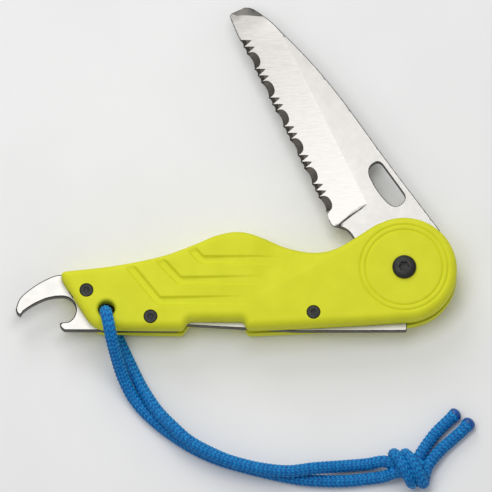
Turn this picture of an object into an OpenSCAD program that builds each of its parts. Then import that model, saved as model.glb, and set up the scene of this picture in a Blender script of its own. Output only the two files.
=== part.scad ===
// Rigging knife: a one-hand lockback folding knife with moulded scales, a steel tail plate
// that is a shackle key and bottle opener, and a knotted lanyard. It lies on its rear scale.
// Everything is drawn about the blade's pivot, and placed() moves it to the model's origin.

/* [Handle] */
// Thickness of the whole handle
handle_t = 15; // [14.5:0.1:15.5]
// Slot between the liners, for the blade and the tail plate
gap_t = 3; // [3:0.1:3.4]
// Thickness of each steel liner
liner_t = 1; // [0.8:0.1:1.2]
// Radius of the handle's end about the pivot
end_r = 15.8; // [15.4:0.1:16.2]
// Width of the moulded rounding round each scale
edge_w = 1.9; // [1:0.1:2]
// Slope of the scales' faces towards the tail, in degrees
tail_slope = 1.4; // [1.2:0.1:1.6]
// Depth of the moulded grip channels
channel_depth = 0.8; // [0.4:0.1:1.2]

/* [Blade] */
// Thickness of the blade
blade_t = 2.6; // [2.4:0.05:2.65]
// Direction in which the blade points from the pivot, from +X, in degrees
blade_angle = 115.8; // [60:0.1:150]
// Thickness left behind the cutting edge
edge_t = 0.4; // [0.3:0.05:0.6]
// Number of groups of one large and two small serrations
serration_groups = 6; // [3:1:6]

/* [Pivot and screws] */
// Radius of the pivot barrel
pivot_r = 2.5; // [2.4:0.01:2.5]
// Radius of the pivot screws' heads
pivot_head_r = 3.6; // [3.2:0.1:4]
// Radius of the body screws' heads
screw_head_r = 2; // [1.8:0.1:2.2]
// Clearance round the pivot barrel and the lock pin
fit = 0.04; // [0.02:0.01:0.06]

/* [Lanyard] */
// Diameter of the braided cord
cord_d = 3.6; // [3.2:0.1:3.6]

/* [Hidden] */

pivot_place = [50.2, -31.5, 0];
mid = handle_t / 2;
scale_t = (handle_t - gap_t) / 2;
taper_x = -55;
slope_w = 100;
end_margin = 1;
eps = 0.01;

// Places in the handle, from the pivot
tail_screws = [[-95.2, -6.8], [-76, -15]];
lock_pin_at = [-27.2, -13.8];
lanyard_hole = [-89.2, -12.5];
lanyard_hole_r = 2.55;
relief_a = -60;
relief_w = 5;
relief_len = 14;
relief_depth = 3.95;

// Screws and barrels
barrel_r = 1.5;
barrel_len = gap_t + 4;
screw_r = 0.85;
screw_head_t = 1;
pivot_head_t = 1.4;
pivot_screw_r = 1.5;
pivot_barrel_len = gap_t + 4;
washer_r = 5;
washer_t = 0.15;

// Tang and lock
tang_r = 9.5;
notch_r = 7.7;
heel_a = 23;
grind_len = 80;
edge_b = 12.9;
grind_b = 0.75;
serration_a = 86.2;
small_tooth = 2.25;
large_tooth = 5.4;

// Pieces of curve
function lerp(a, b, t) = a + (b - a) * t;
function unit(v) = v / norm(v);
function polar(r, a) = r * [cos(a), sin(a)];
function arc(c, r, a0, a1, n) = [for (i = [0:n]) c + polar(r, lerp(a0, a1, i / n))];
function bend(a, b, c, n) = [for (i = [0:n]) let (t = i / n) lerp(lerp(a, b, t), lerp(b, c, t), t)];
function held(p, i) = p[max(0, min(len(p) - 1, i))];
function between(a, b, c, d, t) =
    b + t * (c - a) / 2 + t * t * (a - 2.5 * b + 2 * c - d / 2) + t * t * t * (1.5 * (b - c) + (d - a) / 2);
function spline(p, n) = [
    for (i = [0:len(p) - 2], k = [0:n - 1])
        between(held(p, i - 1), p[i], p[i + 1], held(p, i + 2), k / n),
    p[len(p) - 1]
];

// A closed outline that runs clockwise, moved inwards by d
function right_of(a, b) = let (u = unit(b - a)) [u.y, -u.x];
function inset(p, d) = [
    for (i = [0:len(p) - 1])
        let (
            n = len(p),
            m = right_of(p[(i + n - 1) % n], p[i]) + right_of(p[i], p[(i + 1) % n])
        )
        p[i] + 2 * d * m / (m * m)
];

// Outline of the handle, clockwise from the tail's upper corner
back_curve = [[-100.6, -0.4], [-87, 1.1], [-73, 3.9], [-63, 7.5], [-56, 10.4], [-49, 11.4], [-42, 9.5],
    [-36, 7], [-31, 5.7], [-26.5, 5.2], [-22, 5.8], [-17.5, 7.8], [-8.5, 13.6]];
belly_curve = [[-13, -16.7], [-31, -17.7], [-46.8, -18.4]];
release_notch = [[-48.3, -15.6], [-64.6, -15.6], [-66.3, -18.4]];
handle_outline = concat(
    spline(back_curve, 3),
    arc([0, 0], end_r, 116, -86, 18),
    belly_curve,
    release_notch,
    bend([-89.5, -18.2], [-93, -18], [-95.2, -14.6], 3),
    bend([-101.6, -4.6], [-104, -0.8], [-101.4, -0.5], 4)
);

// Outline of the liners and of their pockets, clockwise from the tail
liner_outline = concat(
    [[-98.4, -2.4], [-87, -0.6], [-73, 2.1], [-60, 6.8], [-49, 9.6]],
    [[-40, 6.8], [-31, 4.1], [-26, 3.5], [-20, 5], [-13, 9]],
    arc([0, 0], 14, 130, -85, 12),
    [[-31, -16.2], [-45.4, -16.8], [-47.3, -14], [-65.6, -14], [-67.4, -17], [-88.5, -17], [-92.5, -15.4]]
);

// Moulded grip channels in each scale: a slanted run from the upper edge, then a straight fade-out
grip_channels = [
    [[-87.1, 3.2], [-74.6, -11.1], [-72.5, -11.3], [-47, -10.4], [-47, -9.6], [-73.4, -8.9], [-83.1, 3.2]],
    [[-77.6, 5.7], [-67.4, -5], [-65, -5.3], [-41.7, -4.4], [-41.7, -3.5], [-65.9, -2.8], [-73.8, 6]],
    [[-68.1, 9.3], [-60.6, 1], [-58, 0.7], [-37.2, 1.6], [-37.2, 2.5], [-59, 3.4], [-65.2, 10]]
];

// Outline of the tail plate: the hook, its throat and lip, then the part between the scales
hook_back = [[-96.9, -1.9], [-103, -0.9], [-107.4, -2.3], [-112, -5.2], [-115.2, -8.2], [-116.4, -11.5]];
hook_inside = [[-112.6, -11], [-110.5, -9.7], [-107.4, -8.3], [-104.4, -7.6]];
plate_outline = concat(
    spline(hook_back, 3),
    [[-115, -13.5]],
    hook_inside,
    arc([-102.5, -11.7], 4.15, 95, -62, 12),
    [[-101.6, -15.5], [-103, -15.7], [-103.2, -16.6], [-101.7, -18]],
    [[-68, -18.1], [-68, -7.8], [-80, -6.6], [-93, -5.3], [-96.6, -4.6]]
);
spring_slot = [[-71.5, -10.25], [-67, -10.35], [-67, -11.25], [-71.5, -11.15]];
spring_outline = [[-71.4, -10.3], [-50, -10.7], [-46, -10.4], [-46, -11.2], [-50, -11.5], [-71.4, -11.1]];

// Outline of the lock bar, at rest on the tang
bar_outline = [[-66, -12], [-50, -11.52], [-30, -11.2], [-24, -11.2], [-4.2, -11.5], [-3.6, -9.65],
    [0.8, -9.65], [0.8, -17.8], [0.5, -18.1], [-31.8, -18.2], [-65.6, -16.3], [-66.2, -15.8]];

// Outline of the blade: a runs from the pivot to the tip, b from the spine to the edge
spine = [[7.2, -15.2], [32.6, -10.5], [56, -6.6], [70.4, -3.3], [84.4, 1.1], [89.4, 3.1], [92.6, 4.6],
    [94.2, 5.9]];
tip = [[94.9, 7.3], [94.9, 11.6], [94.4, 12.5], [88, 12.9]];
choil = [[25.2, 12.9], [23.6, 13.2], [22.2, 12.8], [21.2, 11.4], [19.6, 9.9], [17.9, 9.2], [15.9, 8.9]];
thumb_hole = concat(
    [[31.3, -3.7], [34, -4.5], [34.3, -7.4], [33.4, -8.6], [21.4, -10.6], [20.2, -10], [19.2, -7.4]],
    bend([20, -5.9], [24.6, -3.6], [31.3, -3.7], 4)
);
function tooth(a, length, depth, n) =
    [for (i = [0:n - 1]) let (t = i / n) [a - length * t, edge_b - 4 * depth * t * (1 - t)]];
serrations = [
    for (k = [0:serration_groups - 1])
        let (a = serration_a - k * (2 * small_tooth + large_tooth))
        each concat(
            tooth(a, small_tooth, 0.4, 4),
            tooth(a - small_tooth, small_tooth, 0.4, 4),
            tooth(a - 2 * small_tooth, large_tooth, 0.7, 7)
        )
];
blade_outline = concat(
    [[1.8, -7.5], [2.4, -15.2]],
    spline(spine, 3),
    tip,
    serrations,
    choil,
    [[3.4, 8.9]],
    arc([0, 0], notch_r, 71, 101, 4),
    arc([0, 0], tang_r, 101, 250.8, 16),
    arc([0, 0], notch_r, 250.8, 279, 4)
);

// Routes of the lanyard, from the middle of its hole to the knot, and its two tails
front_route = [[-89.5, -12.9, 7.5], [-89.5, -12.9, 10.5], [-89.5, -13, 12.4], [-89.4, -13.6, 14.4],
    [-89.1, -15, 16.1], [-88.6, -17.3, 16.6], [-88.1, -20, 15.8], [-87.4, -22.8, 13.6], [-86.6, -25.4, 10.8],
    [-85.4, -28.8, 7.3], [-83.9, -32.3, 4.4], [-81.6, -36.5, 2.4], [-79, -40, 1.8], [-75.4, -43.7, 1.8],
    [-71.5, -47, 1.8], [-66.6, -50.5, 1.8], [-61.7, -53.4, 1.8], [-54.8, -56.4, 1.8], [-45.5, -59.1, 1.8],
    [-38, -60.9, 1.8], [-30.4, -62.3, 1.8], [-23, -62.8, 1.8], [-17, -62.7, 1.8], [-11.8, -62.2, 1.8],
    [-6.2, -61.5, 2.2], [-2.5, -60.7, 3]];
rear_route = [[-89.5, -12.9, 7.5], [-89.5, -12.9, 5.2], [-89.3, -13.3, 3.4], [-88.7, -14.6, 2.1],
    [-87.4, -16.5, 1.8], [-85.7, -19, 1.8], [-84.2, -22.2, 1.8], [-82.4, -26.2, 1.8], [-80, -31.4, 2.2],
    [-77.4, -36.4, 3.2], [-73.8, -42, 4.6], [-69.2, -47, 5.4], [-63.7, -51.8, 5.5], [-54.8, -56.4, 5.5],
    [-47.7, -58.7, 5.5], [-41.4, -60, 5.5], [-34.4, -60.6, 5.6], [-27, -59.5, 4.8], [-19, -58.4, 2.6],
    [-11.2, -57.7, 2.4], [-6.4, -57.2, 4.4], [-2.5, -57, 5.6]];
front_tail_route = [[4, -55.6, 4.6], [6.6, -52, 2.4], [9.1, -48.4, 1.8], [11.9, -45.5, 1.8],
    [15.4, -42.2, 1.8]];
rear_tail_route = [[6.6, -58.8, 4.4], [10.2, -54, 2.4], [13.4, -50.9, 1.8], [16.6, -48, 1.8],
    [19.6, -44.8, 1.8]];
// Centres of the corner balls of the knot's solid
knot_r = 4.8;
knot_x = [0.3, 3.3];
knot_y = [-60.6, -58];

// A solid through closed rings of the same number of points, clockwise as seen from the last one
module loft(rings) {
    n = len(rings[0]);
    last = len(rings) - 1;
    start = [for (i = [n - 1:-1:0]) i];
    end = [for (i = [0:n - 1]) last * n + i];
    sides = [
        for (k = [0:last - 1], i = [0:n - 1])
            let (a = k * n + i, b = k * n + (i + 1) % n)
            each [[a, b, b + n], [a, b + n, a + n]]
    ];
    polyhedron([for (ring = rings) each ring], concat([start], sides, [end]));
}

// A plain tube of eight sides along a route that never runs along ref
function heading(p, i) = unit(held(p, i + 1) - held(p, i - 1));
function ring(c, t, r, ref) =
    let (u = unit(cross(t, ref)), w = cross(t, u))
    [for (k = [0:7]) c + r * (u * cos(45 * k + 22.5) - w * sin(45 * k + 22.5))];
module tube(route, ref) {
    loft([for (i = [0:len(route) - 1]) ring(route[i], heading(route, i), cord_d / 2, ref)]);
}

// How far a scale's face has dropped at x, towards the tail
function face_drop(x) = max(0, (taper_x - x) * tan(tail_slope));

// Places the handle's parts: about the pivot, then on the inner face of the front or rear scale
module placed() {
    translate(pivot_place) children();
}
module on_front() {
    placed() translate([0, 0, mid + gap_t / 2]) children();
}
module on_rear() {
    placed() translate([0, 0, mid - gap_t / 2]) mirror([0, 0, 1]) children();
}
module plate(points, t) {
    placed() translate([0, 0, mid - t / 2]) linear_extrude(t) polygon(points);
}
module at_screws() {
    for (p = concat(tail_screws, [lock_pin_at])) translate(p) children();
}

// Moulded scale with its inner face at z = 0, before it is placed: a body and a narrower face
module scale_blank() {
    linear_extrude(scale_t - edge_w / 2) polygon(handle_outline);
    linear_extrude(scale_t) polygon(inset(handle_outline, edge_w / 2));
}
module scale_cuts() {
    // Room for the liner
    translate([0, 0, -end_margin]) linear_extrude(end_margin + liner_t) polygon(liner_outline);
    // The face slopes down to the tail
    translate([taper_x, -slope_w / 2, scale_t]) rotate([0, -tail_slope, 0])
        translate([-slope_w, 0, 0]) cube([slope_w, slope_w, scale_t]);
    // Lanyard hole with a flared mouth
    translate(lanyard_hole) {
        translate([0, 0, -end_margin]) cylinder(h = scale_t + 2 * end_margin, r = lanyard_hole_r, $fn = 48);
        translate([0, 0, scale_t - face_drop(lanyard_hole.x) - 0.8])
            cylinder(h = 2, r1 = lanyard_hole_r, r2 = lanyard_hole_r + 2, $fn = 48);
    }
    // Counterbores, shank holes and seats of the barrels
    at_screws() {
        translate([0, 0, -end_margin]) cylinder(h = scale_t + 2 * end_margin, r = screw_r + 0.15, $fn = 32);
        translate([0, 0, -end_margin]) cylinder(h = end_margin + 2.1, r = barrel_r + 0.1, $fn = 32);
    }
    for (p = concat(tail_screws, [lock_pin_at]))
        translate([p.x, p.y, scale_t - face_drop(p.x) - screw_head_t])
            cylinder(h = 3, r = screw_head_r + 0.1, $fn = 32);
    // Pivot
    translate([0, 0, -end_margin]) cylinder(h = scale_t + 2 * end_margin, r = pivot_screw_r + 0.1, $fn = 32);
    translate([0, 0, -end_margin]) cylinder(h = end_margin + 2.1, r = pivot_r + 0.1, $fn = 48);
    // Two fine rings round the pivot
    for (r = [11.6, 13.2])
        rotate_extrude($fn = 96) translate([r, scale_t - 0.25]) square([0.35, 1]);
    // Grip channels
    for (channel = grip_channels)
        translate([0, 0, scale_t - channel_depth]) linear_extrude(3) polygon(channel);
}
module front_scale() {
    color("#dde034") on_front() difference() {
        scale_blank();
        scale_cuts();
    }
}
module rear_scale() {
    color("#d2d52e") on_rear() difference() {
        scale_blank();
        scale_cuts();
        // The rear pivot screw's head is sunk
        translate([0, 0, scale_t - pivot_head_t - 0.2]) cylinder(h = 3, r = pivot_head_r + 0.1, $fn = 48);
        // Relief that leads the lanyard from its hole to the lower edge
        translate([lanyard_hole.x, lanyard_hole.y, scale_t - relief_depth]) rotate(relief_a)
            translate([0, -relief_w / 2, 0]) cube([relief_len, relief_w, scale_t]);
    }
}

module liner() {
    difference() {
        linear_extrude(liner_t) polygon(liner_outline);
        translate([0, 0, -end_margin]) {
            at_screws() cylinder(h = 2 * end_margin + liner_t, r = barrel_r + 0.05, $fn = 32);
            cylinder(h = 2 * end_margin + liner_t, r = pivot_r + 0.05, $fn = 48);
            translate(lanyard_hole)
                cylinder(h = 2 * end_margin + liner_t, r = lanyard_hole_r + 0.05, $fn = 48);
        }
    }
}
module front_liner() {
    color("#b9b7b2") on_front() liner();
}
module rear_liner() {
    color("#b9b7b2") on_rear() liner();
}

module tail_plate() {
    color("#cfccc6") difference() {
        plate(plate_outline, gap_t);
        plate(spring_slot, gap_t + 2);
        placed() for (p = tail_screws) translate(p) cylinder(h = handle_t, r = barrel_r + 0.05, $fn = 32);
        placed() translate(lanyard_hole) cylinder(h = handle_t, r = lanyard_hole_r, $fn = 48);
    }
}

module lock_spring() {
    color("#8f8f92") plate(spring_outline, gap_t - 0.8);
}

module lock_bar() {
    color("#c6c3bd") difference() {
        plate(bar_outline, gap_t - 0.2);
        placed() translate(lock_pin_at) cylinder(h = handle_t, r = barrel_r + fit, $fn = 48);
    }
}

// The flat grind on one face: what lies above a plane from the grind line to past the edge
module grind() {
    run = 1.4 * (edge_b - grind_b);
    fall = 1.4 * (blade_t - edge_t) / 2;
    translate([heel_a, 0, 0]) rotate([90, 0, 90]) linear_extrude(grind_len)
        polygon([[grind_b, blade_t / 2], [grind_b + run, blade_t / 2 - fall], [grind_b + run, blade_t]]);
}
module blade() {
    color("#cbc8c1") placed() translate([0, 0, mid]) rotate(blade_angle) difference() {
        translate([0, 0, -blade_t / 2]) linear_extrude(blade_t) polygon(blade_outline);
        grind();
        mirror([0, 0, 1]) grind();
        translate([0, 0, -blade_t]) linear_extrude(2 * blade_t) polygon(thumb_hole);
        translate([0, 0, -blade_t]) cylinder(h = 2 * blade_t, r = pivot_r + fit, $fn = 64);
    }
}

module barrel(r, bore, length) {
    translate([0, 0, mid - length / 2]) difference() {
        cylinder(h = length, r = r, $fn = 48);
        translate([0, 0, -end_margin]) cylinder(h = length + 2 * end_margin, r = bore, $fn = 32);
    }
}
module pivot_barrel() {
    color("#a9a8a4") placed() barrel(pivot_r, pivot_screw_r + 0.05, pivot_barrel_len);
}
module lock_pin() {
    color("#a9a8a4") placed() translate(lock_pin_at) barrel(barrel_r, screw_r + 0.05, barrel_len);
}
module tail_barrels() {
    color("#a9a8a4") placed() for (p = tail_screws) translate(p)
        barrel(barrel_r, screw_r + 0.05, barrel_len);
}

module washer() {
    difference() {
        cylinder(h = washer_t, r = washer_r, $fn = 64);
        translate([0, 0, -end_margin]) cylinder(h = 3, r = pivot_r + 0.05, $fn = 48);
    }
}
module front_pivot_washer() {
    color("#b08d4a") on_front() translate([0, 0, -washer_t]) washer();
}
module rear_pivot_washer() {
    color("#b08d4a") on_rear() translate([0, 0, -washer_t]) washer();
}

// A socket screw whose head sits on z = 0 and whose shank goes down from it
module socket_screw(head_r, head_t, shank_r, shank_len) {
    difference() {
        union() {
            rotate_extrude($fn = 48)
                polygon([[0, 0], [head_r, 0], [head_r, head_t / 2], [head_r * 0.75, head_t], [0, head_t]]);
            translate([0, 0, -shank_len]) cylinder(h = shank_len + eps, r = shank_r, $fn = 32);
        }
        translate([0, 0, head_t * 0.4]) cylinder(h = head_t, r = head_r * 0.42, $fn = 6);
    }
}
module front_pivot_screw() {
    color("#333331") on_front() translate([0, 0, scale_t])
        socket_screw(pivot_head_r, pivot_head_t, pivot_screw_r, scale_t + gap_t / 2 - 0.5);
}
module rear_pivot_screw() {
    sunk = pivot_head_t + 0.2;
    color("#333331") on_rear() translate([0, 0, scale_t - sunk])
        socket_screw(pivot_head_r, pivot_head_t, pivot_screw_r, scale_t - sunk + gap_t / 2 - 0.5);
}
module body_screws() {
    for (p = concat(tail_screws, [lock_pin_at])) {
        seat = scale_t - face_drop(p.x) - screw_head_t;
        translate([p.x, p.y, seat])
            socket_screw(screw_head_r, screw_head_t - 0.08, screw_r, seat + gap_t / 2 - 0.5);
    }
}
module front_body_screws() {
    color("#333331") on_front() body_screws();
}
module rear_body_screws() {
    color("#333331") on_rear() body_screws();
}

module lanyard_front_run() {
    color("#0f73b9") placed() tube(front_route, [1, 1, 0]);
}
module lanyard_rear_run() {
    color("#0f73b9") placed() tube(rear_route, [1, 1, 0]);
}
module lanyard_front_tail() {
    color("#0f73b9") placed() tube(front_tail_route, [0, 0, 1]);
}
module lanyard_rear_tail() {
    color("#0f73b9") placed() tube(rear_tail_route, [0, 0, 1]);
}
module lanyard_knot() {
    color("#0c68ab") placed() hull()
        for (x = knot_x, y = knot_y) translate([x, y, knot_r]) sphere(r = knot_r, $fn = 24);
}

front_scale();
rear_scale();
front_liner();
rear_liner();
tail_plate();
blade();
lock_bar();
lock_spring();
pivot_barrel();
front_pivot_screw();
rear_pivot_screw();
front_pivot_washer();
rear_pivot_washer();
lock_pin();
tail_barrels();
front_body_screws();
rear_body_screws();
lanyard_front_run();
lanyard_rear_run();
lanyard_knot();
lanyard_front_tail();
lanyard_rear_tail();
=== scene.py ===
"""Rigging knife: scales, blade, tail plate, lock bar, screws and braided lanyard around the CAD frame."""

import math

import bpy
import numpy as np
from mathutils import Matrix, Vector
from mathutils.geometry import delaunay_2d_cdt


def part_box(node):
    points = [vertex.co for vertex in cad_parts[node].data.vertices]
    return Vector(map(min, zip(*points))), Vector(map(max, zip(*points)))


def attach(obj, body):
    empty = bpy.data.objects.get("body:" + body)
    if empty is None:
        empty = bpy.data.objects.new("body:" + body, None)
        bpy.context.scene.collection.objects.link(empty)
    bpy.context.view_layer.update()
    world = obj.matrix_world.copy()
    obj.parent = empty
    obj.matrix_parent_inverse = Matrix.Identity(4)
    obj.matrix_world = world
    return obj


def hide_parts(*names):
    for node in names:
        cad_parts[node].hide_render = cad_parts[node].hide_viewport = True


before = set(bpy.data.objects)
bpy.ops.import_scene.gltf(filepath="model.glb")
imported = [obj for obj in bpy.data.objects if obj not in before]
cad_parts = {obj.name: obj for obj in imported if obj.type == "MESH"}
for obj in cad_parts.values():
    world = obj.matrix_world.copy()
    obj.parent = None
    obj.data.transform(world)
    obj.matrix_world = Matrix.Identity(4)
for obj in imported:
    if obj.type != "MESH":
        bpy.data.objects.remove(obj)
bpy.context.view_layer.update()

MM = 0.001

def thickness(node):
    low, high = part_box(node)
    return float((high[2] - low[2]) / MM)


# Levels and places, worked out from the frame, in millimetres
barrel_low, barrel_high = (np.array(c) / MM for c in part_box("pivot_barrel"))
PIVOT = (barrel_low[:2] + barrel_high[:2]) / 2
front_face = float(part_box("front_scale")[1][2] / MM)
MID = front_face / 2
PLATE_T = thickness("tail_plate")
BLADE_T = thickness("blade")
BAR_T = thickness("lock_bar")
SCALE_T = (front_face - PLATE_T) / 2
INNER_FRONT, INNER_REAR = MID + PLATE_T / 2, MID - PLATE_T / 2
CORD_D = 3.6
BLADE_ANGLE = math.radians(115.8)

# Places in the handle, from the pivot
TAIL_SCREWS = [(-95.2, -6.8), (-76.0, -15.0)]
LOCK_PIN = (-27.2, -13.8)
SCREWS = [*TAIL_SCREWS, LOCK_PIN]
LANYARD_HOLE = (-89.2, -12.5)
LANYARD_HOLE_R = 2.55
TAPER_X = -55.0
TAIL_SLOPE = math.tan(math.radians(1.4))


def face_drop(x):
    """How far the tapered tail end of a scale's face lies below the rest of it."""
    return np.maximum(0, TAPER_X - x) * TAIL_SLOPE


# ---------------------------------------------------------------- camera and light

TARGET = Vector((PIVOT[0] - 47.4, PIVOT[1] + 8.37, MID)) * MM
CAMERA_FAR = 6.0
VIEW_WIDTH = 0.1476
ELEVATION = math.radians(76)
SENSOR = 36
WORLD_STRENGTH = 0.42


def add_camera():
    data = bpy.data.cameras.new("camera")
    data.sensor_width = SENSOR
    data.lens = SENSOR * CAMERA_FAR / VIEW_WIDTH
    data.clip_end = 20
    camera = bpy.data.objects.new("camera", data)
    bpy.context.collection.objects.link(camera)
    away = Vector((0, -math.cos(ELEVATION), math.sin(ELEVATION)))
    camera.location = TARGET + away * CAMERA_FAR
    camera.rotation_euler = (math.pi / 2 - ELEVATION, 0, 0)
    bpy.context.scene.camera = camera


def add_light(name, place, size, power):
    data = bpy.data.lights.new(name, "AREA")
    data.shape = "RECTANGLE"
    data.size, data.size_y = size
    data.energy = power
    light = bpy.data.objects.new(name, data)
    bpy.context.collection.objects.link(light)
    light.location = TARGET + Vector(place)
    light.rotation_euler = (TARGET - light.location).to_track_quat("-Z", "Y").to_euler()


def light_studio():
    world = bpy.data.worlds.new("studio")
    bpy.context.scene.world = world
    world.use_nodes = True
    background = world.node_tree.nodes["Background"]
    background.inputs["Color"].default_value = (1, 1, 1, 1)
    background.inputs["Strength"].default_value = WORLD_STRENGTH
    add_light("key", (-0.04, 0.04, 0.42), (0.4, 0.16), 0.7)
    add_light("fill", (-0.2, 0.55, 0.5), (0.4, 0.4), 1.4)
    bpy.context.scene.view_settings.view_transform = "Standard"


add_camera()
light_studio()


# ---------------------------------------------------------------- materials


class Shader:
    """A node material with a few short ways to wire it."""

    def __init__(self, name, colour, roughness, metallic=0.0, **sockets):
        self.material = bpy.data.materials.new(name)
        self.material.use_nodes = True
        self.nodes = self.material.node_tree.nodes
        self.links = self.material.node_tree.links
        self.bsdf = self.nodes["Principled BSDF"]
        self.set("Base Color", (*colour, 1))
        self.set("Roughness", roughness)
        self.set("Metallic", metallic)
        for socket, value in sockets.items():
            self.set(socket.replace("_", " "), value)
        self.place = self.nodes.new("ShaderNodeTexCoord").outputs["Object"]

    def set(self, socket, value):
        self.bsdf.inputs[socket].default_value = value

    def link(self, a, b):
        self.links.new(a, b)
        return b

    def stretched(self, scale, turn=0.0):
        mapping = self.nodes.new("ShaderNodeMapping")
        mapping.inputs["Scale"].default_value = scale
        mapping.inputs["Rotation"].default_value = (0, 0, turn)
        self.link(self.place, mapping.inputs["Vector"])
        return mapping.outputs["Vector"]

    def noise(self, size_mm, detail=3.0, vector=None):
        noise = self.nodes.new("ShaderNodeTexNoise")
        noise.inputs["Scale"].default_value = 1000.0 / size_mm
        noise.inputs["Detail"].default_value = detail
        self.link(vector or self.place, noise.inputs["Vector"])
        return noise.outputs["Fac"]

    def ramp(self, fac, low, high, a=0.35, b=0.65):
        ramp = self.nodes.new("ShaderNodeValToRGB")
        ramp.color_ramp.elements[0].position = a
        ramp.color_ramp.elements[1].position = b
        ramp.color_ramp.elements[0].color = (*low, 1)
        ramp.color_ramp.elements[1].color = (*high, 1)
        self.link(fac, ramp.inputs["Fac"])
        return ramp.outputs["Color"]

    def colour(self, fac, low, high, a=0.35, b=0.65):
        self.link(self.ramp(fac, low, high, a, b), self.bsdf.inputs["Base Color"])

    def rough(self, fac, low, high):
        spread = self.nodes.new("ShaderNodeMapRange")
        spread.inputs["From Min"].default_value = 0.3
        spread.inputs["From Max"].default_value = 0.7
        spread.inputs["To Min"].default_value = low
        spread.inputs["To Max"].default_value = high
        self.link(fac, spread.inputs["Value"])
        self.link(spread.outputs["Result"], self.bsdf.inputs["Roughness"])

    def bump(self, fac, height_mm, strength=1.0):
        bump = self.nodes.new("ShaderNodeBump")
        bump.inputs["Strength"].default_value = strength
        bump.inputs["Distance"].default_value = height_mm * MM
        previous = self.bsdf.inputs["Normal"]
        if previous.is_linked:
            self.link(previous.links[0].from_socket, bump.inputs["Normal"])
        self.link(fac, bump.inputs["Height"])
        self.link(bump.outputs["Normal"], previous)


def plastic(name, base, dark):
    s = Shader(name, base, 0.55, Specular_IOR_Level=0.12)
    s.colour(s.noise(7, 3), dark, base, 0.25, 0.7)
    s.rough(s.noise(0.9, 4), 0.5, 0.64)
    s.bump(s.noise(0.45, 3), 0.035, 0.55)
    s.bump(s.noise(1.6, 2), 0.05, 0.3)
    return s.material


def steel(name, light, dark, roughness, brushed=0.0, turn=0.0):
    s = Shader(name, light, roughness, 1.0)
    if brushed:
        along = s.stretched((0.05, 1, 1), turn)
        lines = s.noise(0.28, 3, along)
        s.colour(lines, dark, light, 0.3, 0.7)
        s.rough(lines, roughness - 0.02, roughness + 0.05)
        s.bump(lines, 0.006, brushed)
    else:
        s.colour(s.noise(2.5, 5), dark, light, 0.3, 0.7)
        s.rough(s.noise(0.5, 4), roughness - 0.015, roughness + 0.02)
        s.bump(s.noise(0.12, 3), 0.006, 0.15)
    return s.material


def black_oxide():
    s = Shader("black_oxide", (0.02, 0.02, 0.019), 0.42, Specular_IOR_Level=0.3)
    s.colour(s.noise(0.8, 4), (0.012, 0.012, 0.0115), (0.03, 0.0295, 0.028))
    s.rough(s.noise(0.5, 4), 0.36, 0.52)
    s.bump(s.noise(0.15, 3), 0.008, 0.5)
    return s.material


def brass():
    s = Shader("brass", (0.62, 0.44, 0.16), 0.35, 1.0)
    s.colour(s.noise(1.5, 4), (0.45, 0.31, 0.1), (0.66, 0.48, 0.19))
    s.rough(s.noise(0.8, 3), 0.28, 0.45)
    return s.material


def braid(name, base, dark):
    s = Shader(name, base, 0.5, Specular_IOR_Level=0.2)
    s.colour(s.noise(1.1, 4), dark, base, 0.3, 0.65)
    s.rough(s.noise(0.4, 3), 0.38, 0.6)
    s.bump(s.noise(0.16, 2), 0.03, 0.5)
    return s.material


def melted():
    s = Shader("cord_melted", (0.001, 0.075, 0.32), 0.34, Specular_IOR_Level=0.5)
    s.colour(s.noise(1.4, 3), (0.0, 0.045, 0.22), (0.001, 0.1, 0.4))
    s.bump(s.noise(0.7, 3), 0.08, 0.5)
    return s.material


def paper():
    s = Shader("floor", (0.93, 0.93, 0.93), 0.85, Specular_IOR_Level=0.1)
    s.colour(s.noise(40, 3), (0.91, 0.91, 0.91), (0.94, 0.94, 0.94))
    return s.material


SCALE = plastic("scale_plastic", (0.76, 0.775, 0.034), (0.7, 0.715, 0.026))
FLAT_STEEL = steel("blade_flat", (0.4, 0.39, 0.375), (0.37, 0.36, 0.345), 0.36)
BEVEL_STEEL = steel(
    "blade_bevel", (0.46, 0.445, 0.425), (0.36, 0.345, 0.33), 0.33, 0.3, math.pi / 2 - BLADE_ANGLE
)
# Painted shade: a near-black copy of the blade steel for the ground serration facets, in place of the dark
# reflection of their steeper faces.
SERRATION_SHADE_STEEL = steel("blade_ground", (0.095, 0.086, 0.075), (0.045, 0.041, 0.036), 0.4, 0.4, -BLADE_ANGLE)
# Painted shade: a darker copy of the brushed steel for the blade's tip facet.
TIP_SHADE_STEEL = steel("blade_tip_painted_shade", (0.2, 0.19, 0.18), (0.13, 0.125, 0.115), 0.42, 0.4, -BLADE_ANGLE)
# Painted shade: a near-black copy of the steel for the broken edges and walls of the blade and of the steel
# plates.
EDGE_SHADE_STEEL = steel("edge_painted_shade", (0.1, 0.098, 0.094), (0.055, 0.054, 0.052), 0.42)
PLATE_STEEL = steel("plate_steel", (0.56, 0.545, 0.525), (0.5, 0.49, 0.47), 0.42)
LINER_STEEL = steel("liner_steel", (0.5, 0.5, 0.49), (0.38, 0.38, 0.37), 0.38, 0.4)
SPRING_STEEL = steel("spring_steel", (0.34, 0.34, 0.36), (0.24, 0.24, 0.26), 0.36, 0.4)
BLACK = black_oxide()
BRASS = brass()
CORD = braid("cord_braid", (0.003, 0.15, 0.46), (0.001, 0.1, 0.36))
# Painted highlight: a lighter copy of the cord's blue for the tops of the braid's bumps, set against the
# darker base blue in the gaps.
CORD_HIGHLIGHT = braid("cord_braid_painted_highlight", (0.016, 0.34, 0.74), (0.007, 0.24, 0.6))
MELTED = melted()


# ---------------------------------------------------------------- curves and meshes


def lerp(a, b, t):
    return a + (b - a) * t


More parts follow.
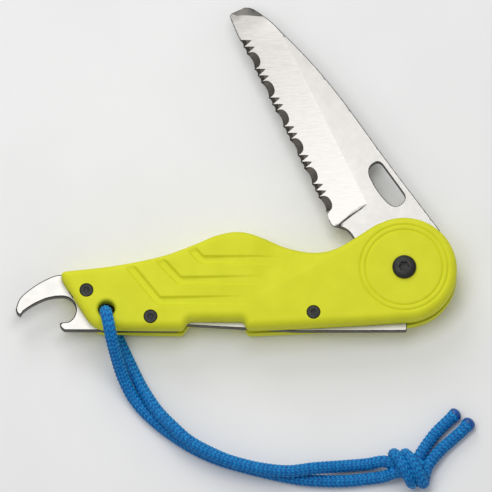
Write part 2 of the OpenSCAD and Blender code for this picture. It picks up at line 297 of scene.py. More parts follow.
def spline(points, n):
    """A smooth curve through the points, n steps to each stretch."""
    p = np.array(points, float)
    p = np.vstack([p[0], p, p[-1]])
    out = []
    for i in range(1, len(p) - 2):
        a, b, c, d = p[i - 1 : i + 3]
        for t in np.arange(n) / n:
            square, cube = a - 2.5 * b + 2 * c - d / 2, 1.5 * (b - c) + (d - a) / 2
            out.append(b + t * (c - a) / 2 + t * t * square + t**3 * cube)
    out.append(p[-2])
    return np.array(out)


def arc(centre, r, a0, a1, n):
    t = np.radians(np.linspace(a0, a1, n + 1))
    return np.array(centre) + r * np.column_stack([np.cos(t), np.sin(t)])


def bend(a, b, c, n):
    t = np.linspace(0, 1, n + 1)[:, None]
    a, b, c = (np.array(p, float) for p in (a, b, c))
    return lerp(lerp(a, b, t), lerp(b, c, t), t)


def ring_of(centre, r, n):
    return arc(centre, r, 0, 360 * (n - 1) / n, n - 1)


def resample(p, step, closed=True):
    """Points about step apart along a line that keeps its corners."""
    p = np.asarray(p, float)
    ends = np.roll(p, -1, 0) if closed else p[1:]
    out = []
    for a, b in zip(p, ends):
        n = max(1, int(round(np.linalg.norm(b - a) / step)))
        out += [lerp(a, b, k / n) for k in range(n)]
    if not closed:
        out.append(p[-1])
    return np.array(out)


def inside(points, outline):
    x, y = points[:, 0], points[:, 1]
    hit = np.zeros(len(points), bool)
    for (x0, y0), (x1, y1) in zip(outline, np.roll(outline, -1, 0)):
        if y0 != y1:
            hit ^= ((y0 > y) != (y1 > y)) & (x < (x1 - x0) * (y - y0) / (y1 - y0) + x0)
    return hit


def distance(points, line, closed=True):
    """Distance of each point from a line of points."""
    a = np.asarray(line, float)
    b = np.roll(a, -1, 0) if closed else a[1:]
    a = a if closed else a[:-1]
    best = np.full(len(points), 1e9)
    for p, q in zip(a, b):
        d = q - p
        t = np.clip(((points - p) @ d) / max(d @ d, 1e-12), 0, 1)
        best = np.minimum(best, np.linalg.norm(points - p - t[:, None] * d, axis=1))
    return best


def inset(loop, d):
    """A closed loop moved inwards by d, or outwards if d is less than nought."""
    loop = np.asarray(loop, float)
    after, before = np.roll(loop, -1, 0), np.roll(loop, 1, 0)
    turn = np.sign((loop[:, 0] * after[:, 1] - after[:, 0] * loop[:, 1]).sum())
    way = after - before
    way = np.column_stack([-way[:, 1], way[:, 0]]) / np.maximum(np.linalg.norm(way, axis=1), 1e-9)[:, None]
    moved = loop + way * d * turn
    return moved[distance(moved, loop) > abs(d) * 0.95]


def smooth_step(x):
    x = np.clip(x, 0, 1)
    return x * x * (3 - 2 * x)


def triangulate(loops, lines=(), extra=()):
    """Triangles inside the first loop and outside the others, through every line and point given."""
    points, edges = [], []
    for line, closed in [(loop, True) for loop in loops] + [(line, False) for line in lines]:
        start = len(points)
        points += [tuple(p) for p in line]
        edges += [(start + i, start + i + 1) for i in range(len(line) - 1)]
        if closed:
            edges.append((start + len(line) - 1, start))
    points += [tuple(p) for p in extra]
    made = delaunay_2d_cdt([Vector(p) for p in points], edges, [], 0, 1e-5)
    v = np.array([tuple(p) for p in made[0]])
    f = np.array([t for t in made[2] if len(t) == 3])
    middle = v[f].mean(1)
    keep = inside(middle, np.asarray(loops[0]))
    for hole in loops[1:]:
        keep &= ~inside(middle, np.asarray(hole))
    f = f[keep]
    used = np.unique(f)
    index = np.full(len(v), -1)
    index[used] = np.arange(len(used))
    v, f = v[used], index[f]
    p, q = v[f[:, 1]] - v[f[:, 0]], v[f[:, 2]] - v[f[:, 0]]
    turn = p[:, 0] * q[:, 1] - p[:, 1] * q[:, 0]
    f[turn < 0] = f[turn < 0][:, ::-1]
    return v, f


def rim_edges(f):
    """Directed edges that belong to one triangle only."""
    edges = np.vstack([f[:, [0, 1]], f[:, [1, 2]], f[:, [2, 0]]])
    n = int(f.max()) + 1
    keys = edges[:, 0] * n + edges[:, 1]
    back = edges[:, 1] * n + edges[:, 0]
    return edges[~np.isin(keys, back)]


def slab(v2, f, top, bottom, classes=None):
    """A closed solid between two height fields over the same triangles."""
    n = len(v2)
    v = np.vstack([np.column_stack([v2, top]), np.column_stack([v2, bottom])])
    walls = [(int(a) + n, int(b) + n, int(b), int(a)) for a, b in rim_edges(f)]
    faces = [tuple(map(int, t)) for t in f] + [tuple(int(i) + n for i in t[::-1]) for t in f] + walls
    front, back, side = classes if classes else ([0] * len(f), [0] * len(f), 0)
    return v, faces, list(front) + list(back) + [side] * len(walls)


def tube_faces(rows, around, start=0):
    """Quads between rings of points, with a face over the first ring and the last."""
    index = start + np.arange(rows * around).reshape(rows, around)
    right = np.roll(index, -1, 1)
    quads = np.stack([index[:-1], right[:-1], right[1:], index[1:]], -1).reshape(-1, 4)
    return quads.tolist() + [index[0][::-1].tolist(), index[-1].tolist()]


def add_mesh(name, v, faces, materials, which, smooth_deg, nodes, body="handle"):
    """A mesh piece from points in millimetres in the row frame."""
    mesh = bpy.data.meshes.new(name)
    mesh.from_pydata((np.asarray(v, float) * MM).tolist(), [], [list(map(int, t)) for t in faces])
    for material in materials:
        mesh.materials.append(material)
    if which is not None:
        mesh.polygons.foreach_set("material_index", np.array(which, np.int32))
    mesh.validate()
    mesh.update()
    mesh.shade_smooth()
    mesh.set_sharp_from_angle(angle=math.radians(smooth_deg))
    piece = bpy.data.objects.new(name, mesh)
    bpy.context.collection.objects.link(piece)
    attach(piece, body)
    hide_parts(*nodes)
    return piece


def from_pivot(v):
    """Points about the pivot, moved to the row frame."""
    v = np.array(v, float)
    v[:, :2] += PIVOT
    return v


# ---------------------------------------------------------------- lanyard

FRONT_ROUTE = [
    (-89.5, -12.9, 7.5), (-89.5, -12.9, 10.5), (-89.5, -13, 12.4), (-89.4, -13.6, 14.4),
    (-89.1, -15, 16.1), (-88.6, -17.3, 16.6), (-88.1, -20, 15.8), (-87.4, -22.8, 13.6),
    (-86.6, -25.4, 10.8), (-85.4, -28.8, 7.3),
    (-83.9, -32.3, 4.4), (-81.6, -36.5, 2.4), (-79, -40, 1.8), (-75.4, -43.7, 1.8), (-71.5, -47, 1.8),
    (-66.6, -50.5, 1.8), (-61.7, -53.4, 1.8), (-54.8, -56.4, 1.8), (-45.5, -59.1, 1.8), (-38, -60.9, 1.8),
    (-30.4, -62.3, 1.8), (-23, -62.8, 1.8), (-17, -62.7, 1.8), (-11.8, -62.2, 1.8), (-6.2, -61.5, 2.4),
]
REAR_ROUTE = [
    (-89.5, -12.9, 7.5), (-89.5, -12.9, 5.2), (-89.3, -13.3, 3.4), (-88.7, -14.6, 2.1), (-87.4, -16.5, 1.8),
    (-85.7, -19, 1.8), (-84.2, -22.2, 1.8), (-82.4, -26.2, 1.8), (-80, -31.4, 2.2), (-77.4, -36.4, 3.2),
    (-73.8, -42, 4.6), (-69.2, -47, 5.4), (-63.7, -51.8, 5.5), (-54.8, -56.4, 5.5), (-47.7, -58.7, 5.5),
    (-41.4, -60, 5.5), (-34.4, -60.6, 5.6), (-27, -59.5, 4.8), (-19, -58.4, 2.6), (-11.2, -57.7, 2.4),
    (-6.4, -57.3, 4.2),
]
FRONT_TAIL = [(9.3, -48.2, 1.9), (12.4, -45.0, 1.9), (16.4, -41.2, 1.9)]
REAR_TAIL = [(10.4, -53.8, 2.4), (13.8, -50.5, 1.9), (17.2, -47.4, 1.9), (20.4, -43.9, 1.9)]


def knot_route(core_y, wrap_x, out):
    """One cord's way through the overhand knot: along the core, back below, over the top and out."""
    return [
        (-2.2, core_y, 4.4), (2.2, core_y - 0.3, 4.8), (5.3, core_y - 0.5, 4.4), (6.4, -59.8, 3.0),
        (4.6, -57.8, 1.9), (0.6, -56.2, 1.9), (wrap_x - 2.9, -55.2, 3.4), (wrap_x - 3.1, -55.4, 5.6),
        (wrap_x - 1.9, -57.1, 7.7), (wrap_x - 0.2, -60.0, 8.0), (wrap_x + 1.4, -62.8, 6.4),
        (wrap_x + 2.2, -63.9, 4.2), (wrap_x + 2.4, -62.7, 2.3), (wrap_x + 2.9, -60.2, 2.2), *out,
    ]


CORD_STEP = 0.25
BRAID_PITCH, BRAID_COLUMNS, BRAID_RAISE, BRAID_LEAN = 1.35, 12, 0.26, 0.75
COLUMN_POINTS = 5
# Swell above which a braid face takes the painted highlight.
HIGHLIGHT_SWELL = 0.62
CORD_SWELL = 0.1
MELTED_END, MELTED_RISE = 2.2, 1
LOWEST = 0.02


def cord_frames(route):
    """Centres at even steps along a route, how far along it each one is, and two directions across it."""
    line = spline(route, 14)
    lengths = np.concatenate([[0], np.cumsum(np.linalg.norm(np.diff(line, axis=0), axis=1))])
    along = np.linspace(0, lengths[-1], int(lengths[-1] / CORD_STEP) + 1)
    centre = np.column_stack([np.interp(along, lengths, line[:, k]) for k in range(3)])
    tangent = np.gradient(centre, axis=0)
    tangent /= np.linalg.norm(tangent, axis=1)[:, None]
    side = np.cross(tangent[0], (0.6, 0.8, 0.1))
    frames = []
    for t in tangent:
        side = side - (side @ t) * t
        side /= np.linalg.norm(side)
        frames.append((side, np.cross(t, side)))
    return centre, along, frames


def melted_shape(to_end, angle):
    """How a melted end swells, closes to a dome and ripples, as a part of the radius."""
    x = np.clip((MELTED_END + MELTED_RISE - to_end) / (MELTED_END + MELTED_RISE), 0, 1)
    bulge = 1 + 0.07 * math.sin(math.pi * x)
    dome = math.sqrt(max(0.02, 1 - max(0, x - 0.55) ** 2 / 0.21))
    return bulge * dome * (1 + 0.03 * np.sin(2 * angle + 1.3))


def cord_surface(route, r):
    """A braided tube: columns of slanted picks that lean to and fro, with a rounded melted far end. The
    bumps' tops are marked for a painted highlight.
    """
    centre, along, frames = cord_frames(route)
    around = BRAID_COLUMNS * COLUMN_POINTS
    place = np.arange(around) / around * BRAID_COLUMNS
    column = np.floor(place)
    across = place - column - 0.5
    lean = np.where(column % 2 == 0, 1.0, -1.0)
    angle = 2 * math.pi * place / BRAID_COLUMNS
    rows, crowns = [], []
    for i, (a, b) in enumerate(frames):
        to_end = along[-1] - along[i]
        pick = along[i] / BRAID_PITCH + across * lean * BRAID_LEAN
        swell = (0.5 + 0.5 * np.cos(2 * math.pi * pick)) ** 0.7 * np.cos(math.pi * across) ** 0.6
        woven = smooth_step((to_end - MELTED_END) / 1.5)
        radius = r - BRAID_RAISE * (1 - swell) * woven
        if to_end < MELTED_END + MELTED_RISE:
            radius = radius * melted_shape(to_end, angle)
        # Faces on the bumps' tops take the lighter copy of the blue: painted highlight.
        crowns.append((swell > HIGHLIGHT_SWELL).astype(int) * 2 if to_end > MELTED_END else np.ones(around, int))
        rows.append(centre[i] + np.outer(radius * np.cos(angle), a) + np.outer(radius * np.sin(angle), b))
    points = np.vstack(rows)
    points[:, 2] = np.maximum(points[:, 2], LOWEST)
    which = np.concatenate(crowns[:-1]).tolist() + [0, 1]
    return points, tube_faces(len(rows), around), which, centre


def add_lanyard():
    front = FRONT_ROUTE + knot_route(-60.6, 0.1, [(4.0, -56.6, 3.4), (6.4, -52.3, 2.6)]) + FRONT_TAIL
    rear = REAR_ROUTE + knot_route(-58.2, 3.4, [(7.2, -58.0, 3.0)]) + REAR_TAIL
    sides = (
        ("lanyard_front_cord", front, ["lanyard_front_run", "lanyard_front_tail"]),
        ("lanyard_rear_cord", rear, ["lanyard_rear_run", "lanyard_rear_tail", "lanyard_knot"]),
    )
    for name, route, nodes in sides:
        v, faces, which, centre = cord_surface(route, CORD_D / 2 + CORD_SWELL)
        finishes = [CORD, MELTED, CORD_HIGHLIGHT]
        piece = add_mesh(name, from_pivot(v), faces, finishes, which, 60, nodes)
        path = from_pivot(centre[::4]) * MM


add_lanyard()


# ---------------------------------------------------------------- handle scales

HANDLE = np.vstack([
    spline([
        (-100.6, -0.4), (-87, 1.1), (-73, 3.9), (-63, 7.5), (-56, 10.4), (-49, 11.4), (-42, 9.5),
        (-36, 7), (-31, 5.7), (-26.5, 5.2), (-22, 5.8), (-17.5, 7.8), (-8.5, 13.6),
    ], 8),
    arc((0, 0), 15.8, 116, -86, 60),
    [(-13, -16.7), (-31, -17.7)],
    bend((-45.8, -18.35), (-46.8, -18.4), (-47.2, -17.7), 3),
    bend((-47.9, -16.3), (-48.3, -15.6), (-49.2, -15.6), 3),
    bend((-63.7, -15.6), (-64.6, -15.6), (-65, -16.3), 3),
    bend((-65.9, -17.7), (-66.3, -18.4), (-67.2, -18.4), 3),
    bend((-89.5, -18.2), (-93, -18), (-95.2, -14.6), 8),
    bend((-101.6, -4.6), (-104, -0.8), (-101.4, -0.5), 10),
])
CHANNELS = [
    [(-85.2, 4.2), (-74.4, -9.3), (-73.7, -10.0), (-72.6, -10.25), (-46.5, -10.1)],
    [(-77.0, 6.6), (-68.1, -3.2), (-67.4, -3.8), (-66.3, -4.05), (-41.5, -3.95)],
    [(-67.6, 10.2), (-61.4, 3.1), (-60.7, 2.5), (-59.6, 2.3), (-36.2, 2.3)],
]
# A channel's floor and its walls, from its middle line, and how it starts inside the scale's edge
CHANNEL_DEPTH, CHANNEL_HALF, CHANNEL_LIP = 1.0, 1.32, 0.15
CHANNEL_FOOT, CHANNEL_FOOT_END = 0.75, 1.1
CHANNEL_FROM_EDGE, CHANNEL_FADE = 0.5, 2
EDGE_W, EDGE_H = 2.5, 2.7
PIVOT_HEAD_R, PIVOT_HEAD_T = 3.6, 1.4
SCREW_HEAD_R, SCREW_HEAD_T = 2.0, 1.0
PIVOT_BORE_R, SUNK = PIVOT_HEAD_R + 0.12, 0.2
BORE_R, BORE_FLOOR_R, BORE_FLOOR_T = SCREW_HEAD_R + 0.12, SCREW_HEAD_R + 0.14, 0.3
BORE_POINTS, HOLE_POINTS = 40, 48
RING_RADII, RING_DEPTH, RING_HALF = (11.6, 13.2), 0.42, 0.24
CREASE, CREASE_SLOPE, CREASE_FALL, CREASE_REACH = (-32, -2.6), 0.58, 0.17, 7
CREASE_FROM, CREASE_IN, CREASE_TO, CREASE_OUT = -46, 8, -15, 6
FLARE_W, FLARE_H = 0.8, 0.75
RELIEF_TURN, RELIEF_LEVEL = math.radians(-60), 3.95
RELIEF_HALF, RELIEF_SIDE, RELIEF_BACK, RELIEF_RISE = 2.9, 0.7, 2.8, 1.2
# The face grid's step, and how far it keeps from the edge, the rings, the pivot and the holes
GRID_STEP, ROW_RATIO = 0.62, 0.87
EDGE_CLEAR, RINGS_FROM, RINGS_TO, PIVOT_CLEAR, HOLE_CLEAR = 2.4, 10.9, 13.9, 4.2, 3.7


def scale_height(p, sunk_pivot):
    """Height of a scale's outer face over its inner face."""
    d = distance(p, HANDLE)
    x = np.clip(1 - d / EDGE_W, 0, 1)
    z = SCALE_T - face_drop(p[:, 0]) - EDGE_H * (1 - np.sqrt(np.maximum(0, 1 - x**2.4)))
    for channel in CHANNELS:
        off = distance(p, channel, False)
        along = np.clip((p[:, 0] - channel[3][0]) / (channel[4][0] - channel[3][0]), 0, 1)
        foot = lerp(CHANNEL_FOOT, CHANNEL_FOOT_END, along)
        wall = 1 - smooth_step((off - foot) / (CHANNEL_HALF + CHANNEL_LIP - foot))
        z -= CHANNEL_DEPTH * (1 - along) * wall * smooth_step((d - CHANNEL_FROM_EDGE) / CHANNEL_FADE)
    r = np.hypot(p[:, 0], p[:, 1])
    for ring in RING_RADII:
        z -= RING_DEPTH * np.exp(-(((r - ring) / RING_HALF) ** 2))
    # The finger groove is scooped: the face falls towards the groove's upper edge from a slanted crease
    crease = (p[:, 1] - CREASE[1]) - CREASE_SLOPE * (p[:, 0] - CREASE[0])
    starts = smooth_step((p[:, 0] - CREASE_FROM) / CREASE_IN)
    ends = smooth_step((CREASE_TO - p[:, 0]) / CREASE_OUT)
    z -= CREASE_FALL * np.clip(crease, 0, CREASE_REACH) * (starts * ends)
    if sunk_pivot:
        z = np.where(r < PIVOT_BORE_R, SCALE_T - PIVOT_HEAD_T - SUNK, z)
    # The lanyard hole's mouth is flared
    q = np.hypot(p[:, 0] - LANYARD_HOLE[0], p[:, 1] - LANYARD_HOLE[1])
    z -= FLARE_H * np.clip(1 - (q - LANYARD_HOLE_R) / FLARE_W, 0, 1) ** 2
    return z


def face_grid(outline):
    """An even grid over the face, away from its edge, its rings and its holes."""
    low, high = outline.min(0), outline.max(0)
    columns, rows = np.arange(low[0], high[0], GRID_STEP), np.arange(low[1], high[1], GRID_STEP * ROW_RATIO)
    xs, ys = np.meshgrid(columns, rows)
    xs[1::2] += GRID_STEP / 2
    grid = np.column_stack([xs.ravel(), ys.ravel()])
    grid = grid[inside(grid, outline)]
    r = np.hypot(grid[:, 0], grid[:, 1])
    keep = (distance(grid, outline) > EDGE_CLEAR) & ((r < RINGS_FROM) | (r > RINGS_TO)) & (r > PIVOT_CLEAR)
    for c in (*SCREWS, LANYARD_HOLE):
        keep &= np.hypot(grid[:, 0] - c[0], grid[:, 1] - c[1]) > HOLE_CLEAR
    return grid[keep]


def face_lines(outline):
    """Denser points where the face bends: the rounding, the rings, the channels' walls and the holes."""
    lines = [inset(outline, d) for d in (0.1, 0.25, 0.5, 0.85, 1.3, 1.8, 2.3)]
    lines += [ring_of((0, 0), r + k, 150) for r in RING_RADII for k in (-0.55, -0.25, 0, 0.25, 0.55)]
    lines += [ring_of((0, 0), k, HOLE_POINTS) for k in (3.5, 3.62, 3.74, 3.95)]
    lines += [ring_of(c, k, BORE_POINTS) for c in SCREWS for k in (2.3, 2.7, 3.2)]
    lines += [ring_of(LANYARD_HOLE, k, HOLE_POINTS) for k in (2.7, 2.9, 3.15, 3.4, 3.7)]
    for channel in CHANNELS:
        line = resample(channel, 0.45, False)
        t = np.gradient(line, axis=0)
        t = np.column_stack([-t[:, 1], t[:, 0]]) / np.linalg.norm(t, axis=1)[:, None]
        lines += [line + t * k * side for k in (0.7, 0.9, 1.1, 1.3, 1.48, 1.75) for side in (-1, 1)]
        lines.append(line)
    lines = np.vstack(lines)
    lines = lines[inside(lines, outline) & (distance(lines, outline) > 0.08)]
    for c, far in [*((c, BORE_FLOOR_R) for c in SCREWS), (LANYARD_HOLE, LANYARD_HOLE_R + 0.03)]:
        lines = lines[np.hypot(lines[:, 0] - c[0], lines[:, 1] - c[1]) > far]
    return lines


def bore_floors(start):
    """A thin disc a little below each screw head, as points and faces."""
    points, faces = [], []
    for c in SCREWS:
        z = SCALE_T - face_drop(c[0]) - SCREW_HEAD_T - 0.02
        faces += tube_faces(2, BORE_POINTS, start + len(points))
        ring = ring_of(c, BORE_FLOOR_R, BORE_POINTS)
        points += [(x, y, level) for level in (z - BORE_FLOOR_T, z) for x, y in ring]
    return points, faces


def with_relief(v):
    """Heights with the groove that leads the lanyard under the tail pressed into the face."""
    p = v[:, :2] - np.array(LANYARD_HOLE)
    way = np.array([math.cos(RELIEF_TURN), math.sin(RELIEF_TURN)])
    along, across = p @ way, np.abs(p @ np.array([-way[1], way[0]]))
    sides = smooth_step((RELIEF_HALF - across) / RELIEF_SIDE)
    groove = sides * smooth_step((along + RELIEF_BACK) / RELIEF_RISE)
    roof = INNER_REAR - RELIEF_LEVEL
    return np.where(v[:, 2] > roof, lerp(v[:, 2], roof, groove), v[:, 2])


def add_scale(name, rear):
    outline = resample(HANDLE, 0.6)
    hole = ring_of(LANYARD_HOLE, LANYARD_HOLE_R, HOLE_POINTS)
    bores = [ring_of(c, BORE_R, BORE_POINTS) for c in SCREWS]
    inner = np.vstack([face_grid(outline), face_lines(outline)])
    v2, f = triangulate([outline, hole, *bores], extra=inner)
    v, faces, _ = slab(v2, f, scale_height(v2, rear), np.zeros(len(v2)))
    floor_points, floor_faces = bore_floors(len(v))
    v, faces = np.vstack([v, floor_points]), faces + floor_faces
    if rear:
        v[:, 2] = INNER_REAR - with_relief(v)
        faces = [t[::-1] for t in faces]
    else:
        v[:, 2] = INNER_FRONT + v[:, 2]
    add_mesh(name + "_moulded", from_pivot(v), faces, [SCALE], None, 38, [name])


add_scale("front_scale", False)
add_scale("rear_scale", True)


# ---------------------------------------------------------------- blade

EDGE_B, GRIND_B = 12.9, 0.75
SMALL, LARGE = 2.25, 5.4
SERRATION_A, GROUPS = 86.2, 6
SERRATED_FROM, SERRATED_TO, SERRATED_B = 24.5, 87.5, 9.5
SPIKE_UP, SPIKE_DOWN = 0.66, 0.34
GROUND_LEAST = 0.3
HALF, EDGE_HALF, LEAST_HALF = BLADE_T / 2, 0.2, 0.12
EDGE_BAND, BREAK_SLOPE = 0.24, 0.6
PLUNGE_LEAD, PLUNGE_W = 0.15, 1.1
TIP_W, TIP_FALL = 2.2, 0.8
SPINE = spline([
    (7.2, -15.2), (32.6, -10.5), (56, -6.6), (70.4, -3.3), (84.4, 1.1), (89.4, 3.1), (92.6, 4.6),
    (94.2, 5.9),
], 10)
TIP = np.array([(94.9, 7.3), (94.9, 11.6), (94.4, 12.5), (88, 12.9)])
CHOIL = spline([
    (25.2, 12.9), (23.6, 13.2), (22.2, 12.8), (21.2, 11.4), (19.6, 9.9), (17.9, 9.2), (15.9, 8.9),
], 5)


def teeth():
    """Each serration as (start, length, depth, ground depth)."""
    out, a = [], SERRATION_A
    for _ in range(GROUPS):
        for length, depth, ground in ((SMALL, 0.4, 3.0), (SMALL, 0.4, 3.0), (LARGE, 0.7, 2.85)):
            out.append((a, length, depth, ground))
            a -= length
    return out


def tooth_line(start, length, depth, n):
    t = np.arange(n) / n
    return np.column_stack([start - length * t, EDGE_B - 4 * depth * t * (1 - t)])


def ground_reach(t, length, ground):
    """How far from the edge line a serration's hollow grind reaches: leaning spikes or a round scallop."""
    t = np.clip(t, 0, 1)
    if length > SMALL:
        return GROUND_LEAST + (ground - GROUND_LEAST) * (4 * t * (1 - t)) ** 0.36
    off = np.where(t < SPIKE_UP, (SPIKE_UP - t) / SPIKE_UP, (t - SPIKE_UP) / SPIKE_DOWN)
    return GROUND_LEAST + (ground - GROUND_LEAST) * (1 - off**1.25)


def ground_line(start, length, ground, n):
    t = np.linspace(0.02, 0.98, n)
    return np.column_stack([start - length * t, EDGE_B - ground_reach(t, length, ground)])


THUMB_HOLE = np.vstack([
    bend((31.3, -3.7), (33.9, -4.2), (34.2, -6.2), 5), bend((34.3, -7.2), (34.2, -8.5), (32.6, -8.75), 5),
    bend((22.2, -10.5), (20.0, -10.8), (19.4, -8.8), 5), bend((19.2, -8.0), (18.9, -6.2), (21.0, -5.2), 5),
    bend((21.6, -4.95), (25.2, -3.6), (30.4, -3.65), 8),
])
BLADE = np.vstack([
    [(1.8, -7.5), (2.4, -15.2)], SPINE, TIP,
    *[tooth_line(a, w, d, 8 if w == SMALL else 16) for a, w, d, _ in teeth()],
    CHOIL, [(3.4, 8.9)], arc((0, 0), 7.7, 71, 101, 8), arc((0, 0), 9.5, 101, 250.8, 40),
    arc((0, 0), 7.7, 250.8, 279, 8),
])
GRIND_LINE = np.vstack([
    [(23.4, GRIND_B), (76, GRIND_B)], bend((80, GRIND_B), (84.5, 1.0), (88.0, 2.75), 6)[1:],
])
PLUNGE = bend((23.4, GRIND_B), (22.6, 6.4), (21.3, 11.2), 6)
TIP_LINE = bend((89.2, 3.1), (92.4, 7.4), (94.4, 12.3), 6)


def bevel_height(p):
    """Half thickness of the blade, without its serrations."""
    a, b = p[:, 0], p[:, 1]
    grind = np.interp(a, GRIND_LINE[:, 0], GRIND_LINE[:, 1])
    bevel = lerp(HALF, EDGE_HALF, np.clip((b - grind) / (EDGE_B - grind), 0, 1))
    plunge = np.interp(b, PLUNGE[:, 1], PLUNGE[:, 0])
    bevel = lerp(HALF, bevel, smooth_step((a - plunge + PLUNGE_LEAD) / PLUNGE_W))
    inward = np.interp(b, TIP_LINE[:, 1], TIP_LINE[:, 0])
    past = np.clip((a - inward) / TIP_W, 0, 1)
    return np.maximum(LEAST_HALF, bevel * (1 - TIP_FALL * past))


def in_serrations(p):
    return (p[:, 1] > SERRATED_B) & (p[:, 0] > SERRATED_FROM) & (p[:, 0] < SERRATED_TO)


def blade_points(outline, thumb):
    """Points inside the outline, denser along the plunge and along the broken edges."""
    grid = [(a, b) for a in np.arange(SERRATED_FROM, 92, 1.4) for b in np.arange(1.6, 10.4, 1.4)]
    grid += [(a, b) for a in np.arange(-8, 90, 2.4) for b in np.arange(-14, 9, 2.4) if b < 0 or a < 22]
    plunge = resample(PLUNGE, 0.7, False)
    shoulder = np.vstack([plunge + np.array([k, 0]) for k in (0.25, 0.5, 0.75, 1.0, 1.3)])
    grid = np.vstack([grid, shoulder])
    grid = grid[inside(grid, outline) & (distance(grid, outline) > 0.4)]
    band = np.vstack([inset(outline, EDGE_BAND), inset(thumb, -EDGE_BAND)])
    plain = (band[:, 1] < 12.2) | (band[:, 0] > SERRATED_TO) | (band[:, 0] < SERRATED_FROM)
    return np.vstack([grid, band[inside(band, outline) & plain]])


def front_height(v2, half):
    """The front face. The serrations are ground from the front only, so there it falls to the far edge."""
    front = half.copy()
    a, b = v2[:, 0], v2[:, 1]
    for start, width, depth, deep in teeth():
        t = (start - a) / width
        here = (t > -0.001) & (t < 1.001) & (b > SERRATED_B)
        limit = EDGE_B - ground_reach(t, width, deep)
        rim = EDGE_B - depth * np.clip(4 * t * (1 - t), 0, 1)
        fall = np.clip((b - limit) / np.maximum(rim - limit, 0.2), 0, 1)
        front = np.where(here & (b > limit), lerp(half, -EDGE_HALF * 0.6, fall), front)
    return front


# The ground, tip and edge finishes are darkened copies of the same steel: painted shade.
BLADE_FINISHES = [FLAT_STEEL, BEVEL_STEEL, SERRATION_SHADE_STEEL, TIP_SHADE_STEEL, EDGE_SHADE_STEEL]
ON_FLAT, ON_BEVEL, ON_SERRATION_SHADE, ON_TIP_SHADE, ON_EDGE_SHADE = range(5)


def blade_classes(middle, outline, thumb):
    """The finish of each front and each back triangle, from its middle. The ground serrations, the tip
    facet and the edge bands get darker copies of the steel: painted shade.
    """
    a, b = middle[:, 0], middle[:, 1]
    plunge = np.interp(b, PLUNGE[:, 1], PLUNGE[:, 0])
    bevel = (b > np.interp(a, GRIND_LINE[:, 0], GRIND_LINE[:, 1])) & (a > plunge)
    back = np.where(bevel, ON_BEVEL, ON_FLAT)
    # The tip facet takes the darker copy of the steel: painted shade.
    back[a > np.interp(b, TIP_LINE[:, 1], TIP_LINE[:, 0])] = ON_TIP_SHADE
    # The edge bands, the plunge line and the walls take the near-black copy: painted shade.
    edge = np.minimum(distance(middle, outline), distance(middle, thumb)) < EDGE_BAND * 0.6
    back[edge & ~in_serrations(middle)] = ON_EDGE_SHADE
    back[(b > 1.1) & (np.abs(a - plunge - 0.2) < 0.3)] = ON_EDGE_SHADE
    front = back.copy()
    # The ground serration facets on the front take the near-black copy: painted shade.
    for start, width, _, deep in teeth():
        t = (start - a) / width
        front[(t > 0) & (t < 1) & (b > EDGE_B - ground_reach(t, width, deep))] = ON_SERRATION_SHADE
    return front, back, ON_EDGE_SHADE


def add_blade():
    outline, thumb = resample(BLADE, 1.2), resample(THUMB_HOLE, 0.5)
    ground = [ground_line(a, w, g, 13 if w == SMALL else 21) for a, w, _, g in teeth()]
    lines = [GRIND_LINE[:-1], PLUNGE[1:-1], TIP_LINE[1:-1], *ground]
    pivot = ring_of((0, 0), 2.54, 48)
    v2, f = triangulate([outline, thumb, pivot], lines, blade_points(outline, thumb))
    rim = np.minimum(distance(v2, outline), distance(v2, thumb))
    broken = np.where(in_serrations(v2), 0, np.maximum(0, EDGE_BAND - rim)) * BREAK_SLOPE
    half = np.maximum(0.1, bevel_height(v2) - broken)
    classes = blade_classes(v2[f].mean(1), outline, thumb)
    v, faces, which = slab(v2, f, front_height(v2, half), -half, classes)
    c, s = math.cos(BLADE_ANGLE), math.sin(BLADE_ANGLE)
    v = from_pivot(np.column_stack([v[:, 0] * c - v[:, 1] * s, v[:, 0] * s + v[:, 1] * c, v[:, 2] + MID]))
    add_mesh("blade_ground", v, faces, BLADE_FINISHES, which, 9, ["blade"], "blade")


add_blade()


# ---------------------------------------------------------------- tail plate and lock bar

HOOK = np.vstack([
    spline([(-96.9, -1.9), (-103, -0.9), (-107.4, -2.3), (-112, -5.2), (-115.2, -8.2), (-116.4, -11.5)], 8),
    [(-116.0, -12.8), (-115, -13.5)],
    spline([(-114.2, -12.2), (-112.6, -11), (-110.5, -9.7), (-107.4, -8.3), (-104.4, -7.6)], 4),
    arc((-102.5, -11.7), 4.15, 95, -62, 28),
    [(-101.6, -15.5), (-103, -15.7)],
    bend((-103.2, -16.0), (-103.1, -17.3), (-101.7, -18), 5),
    [(-68, -18.1), (-68, -7.8), (-80, -6.6), (-93, -5.3), (-96.6, -4.6)],
])
BAR = np.vstack([
    [(-66, -12), (-50, -11.52), (-30, -11.2), (-24, -11.2), (-4.2, -11.5), (-3.6, -9.65), (0.8, -9.65)],
    bend((0.8, -17.4), (0.8, -18.1), (0.1, -18.1), 4), [(-31.8, -18.2), (-65.6, -16.3), (-66.2, -15.8)],
])


def add_bevelled(name, node, outline, holes, thick, bevel, body):
    """A flat steel piece with a narrow bevel round every edge."""
    outline = resample(outline, 0.7)
    extra = np.vstack([inset(outline, bevel)] + [inset(hole, -bevel) for hole in holes])
    extra = extra[inside(extra, outline)]
    v2, f = triangulate([outline, *holes], extra=extra)
    d = distance(v2, outline)
    for hole in holes:
        d = np.minimum(d, distance(v2, hole))
    half = thick / 2 - np.maximum(0, bevel - d) * 0.8
    # The bevel band and the walls take the near-black steel: painted shade.
    edge = (d[f].mean(1) < bevel * 0.7).astype(int)
    v, faces, which = slab(v2, f, MID + half, MID - half, (edge, edge, 1))
    add_mesh(name, from_pivot(v), faces, [PLATE_STEEL, EDGE_SHADE_STEEL], which, 20, [node], body)


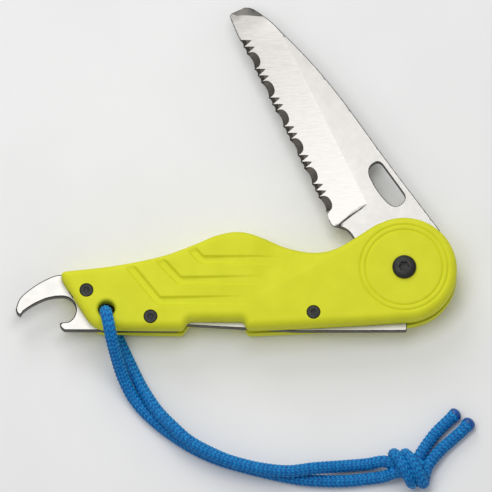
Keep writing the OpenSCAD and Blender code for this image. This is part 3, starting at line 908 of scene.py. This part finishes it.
tail_holes = [ring_of(c, 1.55, 32) for c in TAIL_SCREWS] + [ring_of(LANYARD_HOLE, LANYARD_HOLE_R, 48)]
pin_hole = ring_of(LOCK_PIN, 1.54, 48)
add_bevelled("tail_plate_steel", "tail_plate", HOOK, tail_holes, PLATE_T, 0.3, "handle")
add_bevelled("lock_bar_steel", "lock_bar", BAR, [pin_hole], BAR_T, 0.22, "lock_bar")


# ---------------------------------------------------------------- screws


HEAD_POINTS = 72
LOBES, LOBE_DEPTH = 6, 0.13


def head_profile(r, t, domed):
    """Radius and height of a button or flat head, from its underside to its socket."""
    shoulder = t * (0.3 if domed else 0.72)
    lip = r - (r * 0.5 if domed else t * 0.25)
    steps = 6 if domed else 3
    profile = [(r * 0.985, 0.0), (r, t * 0.12), (r, shoulder)]
    for k in range(1, steps + 1):
        u = k / steps * math.pi / 2
        profile.append((lip + (r - lip) * math.cos(u), shoulder + (t - shoulder) * math.sin(u)))
    return profile


def add_screws(name, node, places, head, domed, socket, seats, facing):
    """Heads with six-lobed sockets. seats gives the level of each head's underside."""
    angle = np.arange(HEAD_POINTS) / HEAD_POINTS * 2 * math.pi
    star = socket[0] * (1 + LOBE_DEPTH * np.cos(LOBES * angle))
    walls = ((1.12, 0), (1.0, 0.08), (0.97, socket[1]), (0.3, socket[1] * 1.1))
    rings = [(np.full(HEAD_POINTS, r), z) for r, z in head_profile(*head, domed)]
    rings += [(star * grow, head[1] - deep) for grow, deep in walls]
    rows, faces = [], []
    for (x, y), seat in zip(places, seats):
        faces += tube_faces(len(rings), HEAD_POINTS, len(rows) * HEAD_POINTS)
        for r, z in rings:
            level = np.full(HEAD_POINTS, seat + facing * z)
            rows.append(np.column_stack([x + r * np.cos(angle), y + r * np.sin(angle), level]))
    if facing < 0:
        faces = [t[::-1] for t in faces]
    add_mesh(name, from_pivot(np.vstack(rows)), faces, [BLACK], None, 35, [node])


PIVOT_HEAD, PIVOT_SOCKET = (PIVOT_HEAD_R, PIVOT_HEAD_T), (1.35, 0.85)
BODY_HEAD, BODY_SOCKET = (SCREW_HEAD_R, SCREW_HEAD_T - 0.08), (0.78, 0.55)
centre = [(0, 0)]
front_seat = [INNER_FRONT + SCALE_T]
rear_seat = [INNER_REAR - SCALE_T + PIVOT_HEAD_T + SUNK]
add_screws("front_pivot_head", "front_pivot_screw", centre, PIVOT_HEAD, True, PIVOT_SOCKET, front_seat, 1)
add_screws("rear_pivot_head", "rear_pivot_screw", centre, PIVOT_HEAD, False, PIVOT_SOCKET, rear_seat, -1)
seats = [SCALE_T - face_drop(x) - SCREW_HEAD_T for x, _ in SCREWS]
front_seats, rear_seats = [INNER_FRONT + z for z in seats], [INNER_REAR - z for z in seats]
add_screws("front_screw_heads", "front_body_screws", SCREWS, BODY_HEAD, False, BODY_SOCKET, front_seats, 1)
add_screws("rear_screw_heads", "rear_body_screws", SCREWS, BODY_HEAD, False, BODY_SOCKET, rear_seats, -1)


# ---------------------------------------------------------------- materials of the CAD nodes that stay

FINISHES = {
    "front_liner": LINER_STEEL,
    "rear_liner": LINER_STEEL,
    "pivot_barrel": LINER_STEEL,
    "lock_pin": LINER_STEEL,
    "tail_barrels": LINER_STEEL,
    "lock_spring": SPRING_STEEL,
    "front_pivot_washer": BRASS,
    "rear_pivot_washer": BRASS,
}
for node, material in FINISHES.items():
    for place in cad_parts[node].material_slots:
        place.material = material


# ---------------------------------------------------------------- floor

FLOOR_GAP, FLOOR_HALF = 0.0001, 1.5


def add_floor():
    half = FLOOR_HALF
    mesh = bpy.data.meshes.new("floor")
    corners = [(-half, -half), (half, -half), (half, half), (-half, half)]
    mesh.from_pydata([(x, y, -FLOOR_GAP) for x, y in corners], [], [(0, 1, 2, 3)])
    mesh.materials.append(paper())
    floor = bpy.data.objects.new("floor", mesh)
    bpy.context.collection.objects.link(floor)


add_floor()
